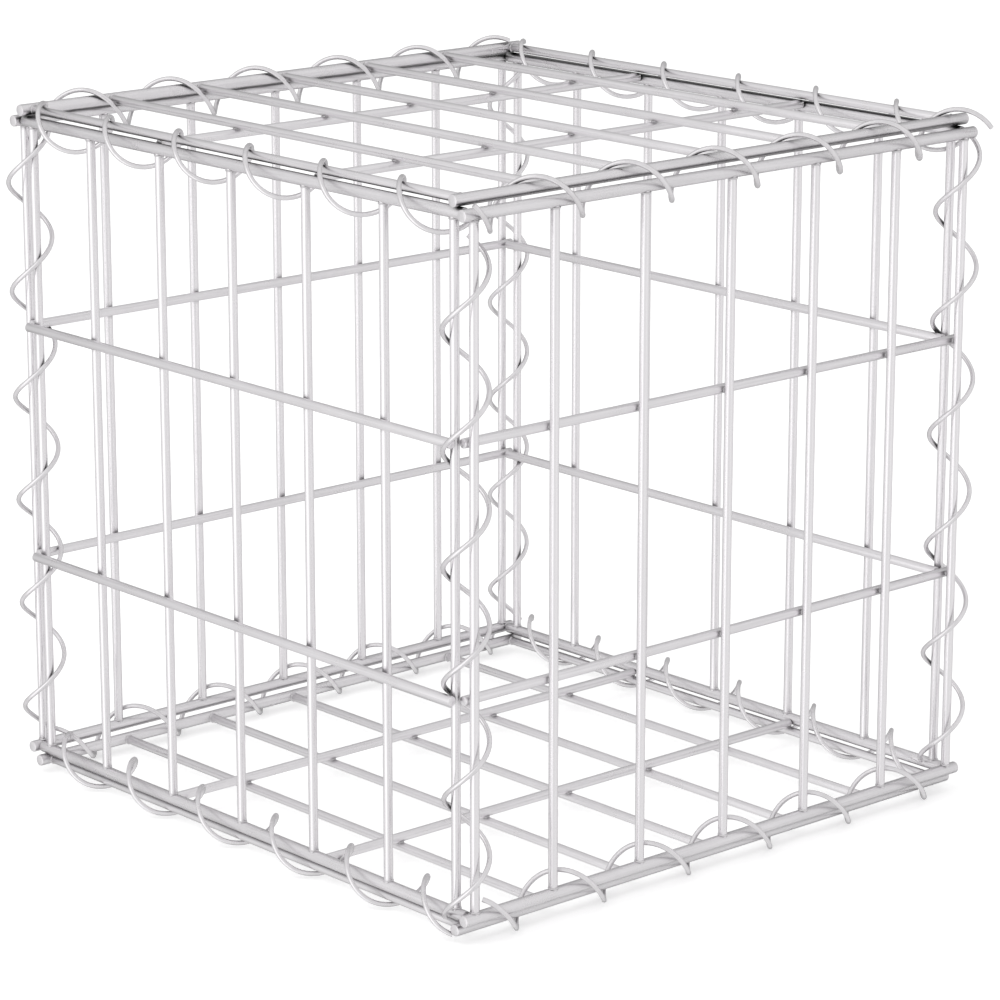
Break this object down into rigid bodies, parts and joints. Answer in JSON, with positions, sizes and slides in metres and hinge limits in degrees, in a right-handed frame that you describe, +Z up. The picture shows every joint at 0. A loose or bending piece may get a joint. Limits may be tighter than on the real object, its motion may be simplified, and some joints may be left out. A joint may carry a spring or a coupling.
{
  "type": "gabion basket",
  "caption": "Empty cube gabion basket of galvanised welded wire mesh, its panels laced along every edge with spiral wire binders, for use as a raised garden bed.",
  "frame": {"origin": "on the ground under the middle of the basket", "axes": "+Z up, +X towards the right side panel, -Y towards the front panel"},
  "size_m": [0.3214, 0.31, 0.3181],
  "materials": {
    "mesh_wire": "galvanised",
    "binder_wire": "galvanised"
  },
  "bodies": {
    "root": {"front_edge_wires": "mesh_wire", "front_line_wires": "mesh_wire", "front_cross_wires": "mesh_wire", "back_edge_wires": "mesh_wire", "back_line_wires": "mesh_wire", "back_cross_wires": "mesh_wire", "right_edge_wires": "mesh_wire", "right_line_wires": "mesh_wire", "right_cross_wires": "mesh_wire", "left_edge_wires": "mesh_wire", "left_line_wires": "mesh_wire", "left_cross_wires": "mesh_wire", "lid_edge_wires": "mesh_wire", "lid_line_wires": "mesh_wire", "lid_cross_wires": "mesh_wire", "base_edge_wires": "mesh_wire", "base_line_wires": "mesh_wire", "base_cross_wires": "mesh_wire", "binder_top_front": "binder_wire", "binder_top_back": "binder_wire", "binder_bottom_front": "binder_wire", "binder_bottom_back": "binder_wire", "binder_top_left": "binder_wire", "binder_top_right": "binder_wire", "binder_bottom_left": "binder_wire", "binder_bottom_right": "binder_wire", "binder_front_left": "binder_wire", "binder_front_right": "binder_wire", "binder_back_right": "binder_wire", "binder_back_left": "binder_wire"}
  },
  "joints": []
}
